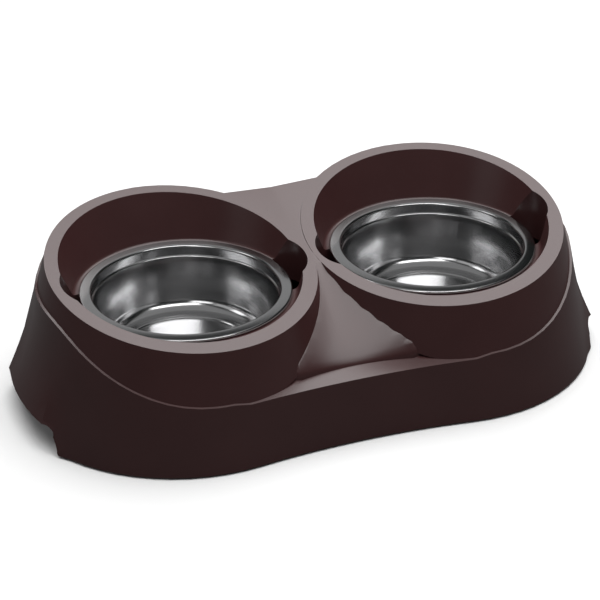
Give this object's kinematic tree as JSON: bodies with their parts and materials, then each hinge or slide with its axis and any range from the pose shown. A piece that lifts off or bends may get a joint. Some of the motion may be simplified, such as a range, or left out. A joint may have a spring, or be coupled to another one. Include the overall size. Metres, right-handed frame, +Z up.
{
  "type": "raised double pet bowl",
  "caption": "Raised moulded stand with slanted round collars and hand holds at its ends, holding lift-out steel bowls by their rims.",
  "frame": {"origin": "on the surface that the feet rest on, below the middle of the line between the axes of the two collars", "axes": "+X along the stand towards the right bowl, +Y towards the stand's high back, +Z up; the user stands at -Y"},
  "size_m": [0.3758, 0.2074, 0.1066],
  "materials": {
    "brown_plastic": "satin moulded, dark brown",
    "polished_steel": "polished stainless steel, finely brushed inside",
    "foot_rubber": "matt, black"
  },
  "bodies": {
    "stand": {"stand": "brown_plastic", "foot_front_left": "foot_rubber", "foot_front_right": "foot_rubber", "foot_back_left": "foot_rubber", "foot_back_right": "foot_rubber"},
    "bowl_left": {"bowl_left": "polished_steel"},
    "bowl_right": {"bowl_right": "polished_steel"}
  },
  "joints": [
    {"name": "bowl_left_lift", "type": "slide", "parent": "stand", "child": "bowl_left", "axis": [0, 0, 1], "range_m": [0, 0.09]},
    {"name": "bowl_right_lift", "type": "slide", "parent": "stand", "child": "bowl_right", "axis": [0, 0, 1], "range_m": [0, 0.09]}
  ]
}
